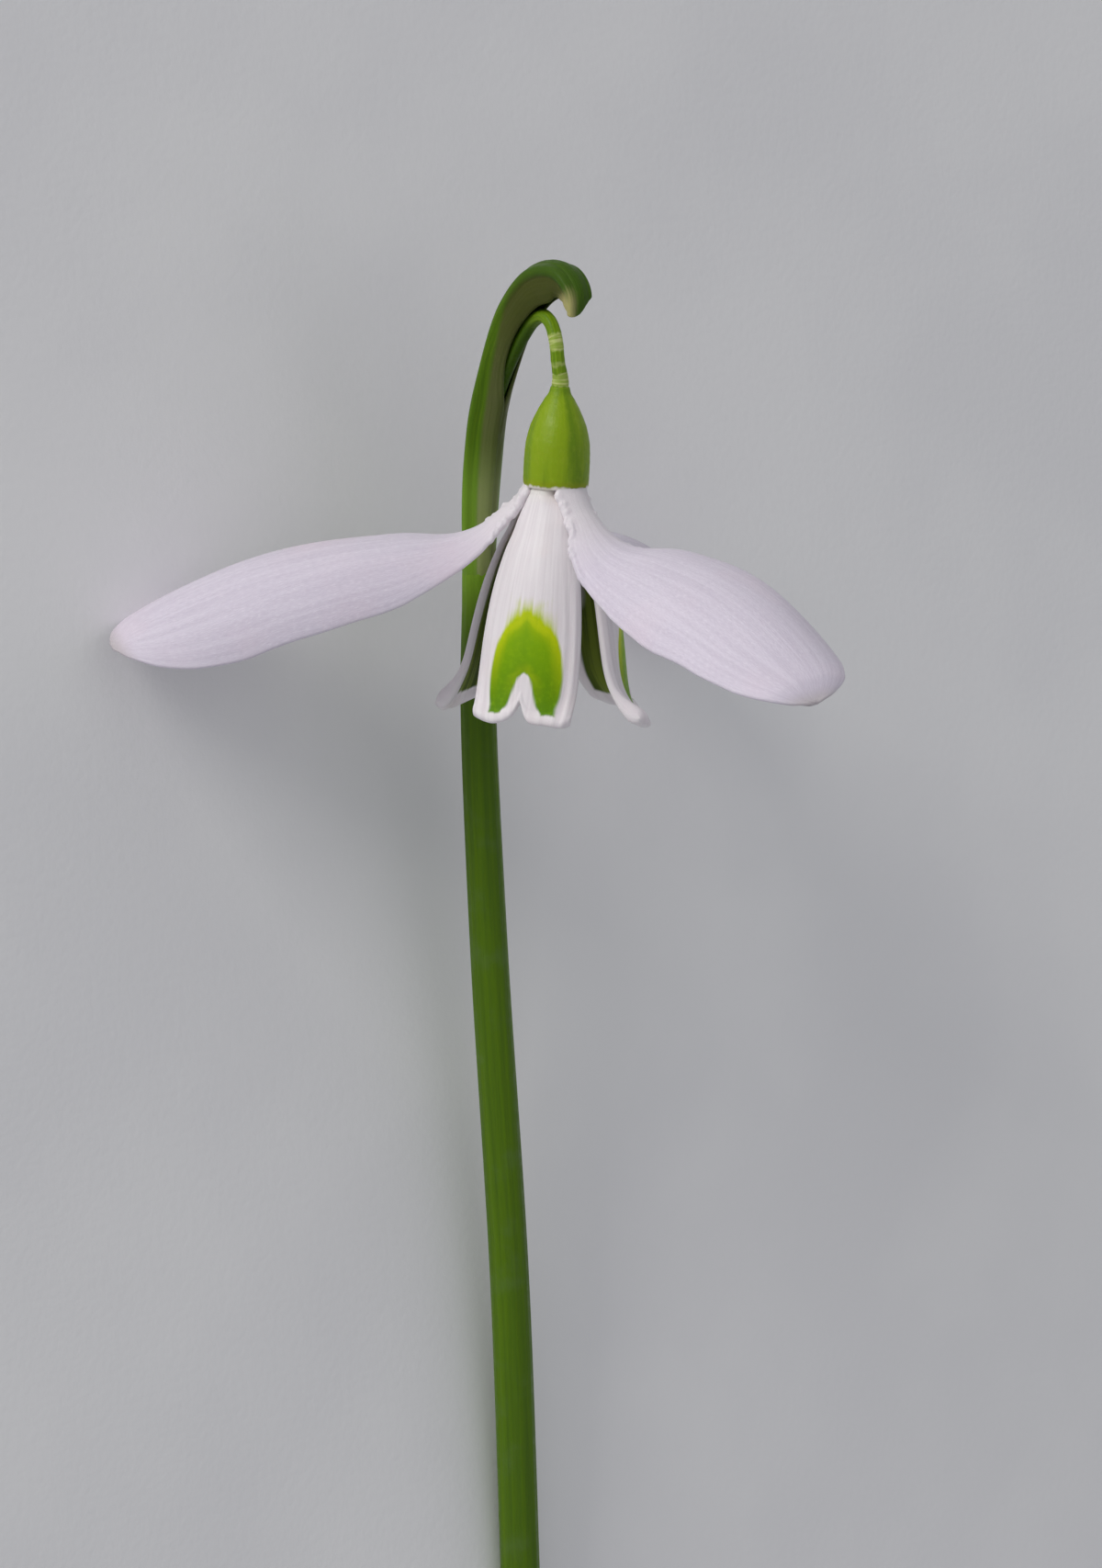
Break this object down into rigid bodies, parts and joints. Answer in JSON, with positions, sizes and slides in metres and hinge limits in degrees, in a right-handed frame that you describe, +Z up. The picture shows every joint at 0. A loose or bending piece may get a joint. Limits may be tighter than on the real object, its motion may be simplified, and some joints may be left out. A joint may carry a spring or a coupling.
{
  "type": "single cut snowdrop flower",
  "caption": "Cut snowdrop lying on its side: hooked green stem, sheath and ovary, with long white outer petals spread round a short notched inner cup.",
  "frame": {"origin": "on the table, at the middle of the flower's outline seen from above", "axes": "+Z up from the table, +Y along the stem from its cut end towards the flower, +X across"},
  "size_m": [0.0526, 0.1186, 0.0437],
  "materials": {
    "stem": "satin",
    "spathe": "satin",
    "ovary": "satin",
    "outer_tepal": "matte",
    "inner_tepal": "matte",
    "anther": "matte",
    "style": "matte"
  },
  "bodies": {
    "root": {"scape": "stem", "pedicel": "stem", "spathe": "spathe", "ovary": "ovary", "outer_tepal_left": "outer_tepal", "outer_tepal_right": "outer_tepal", "outer_tepal_back": "outer_tepal", "inner_tepal_front": "inner_tepal", "inner_tepal_right": "inner_tepal", "inner_tepal_left": "inner_tepal", "stamen_1": "anther", "stamen_2": "anther", "stamen_3": "anther", "stamen_4": "anther", "stamen_5": "anther", "stamen_6": "anther", "style": "style"}
  },
  "joints": []
}
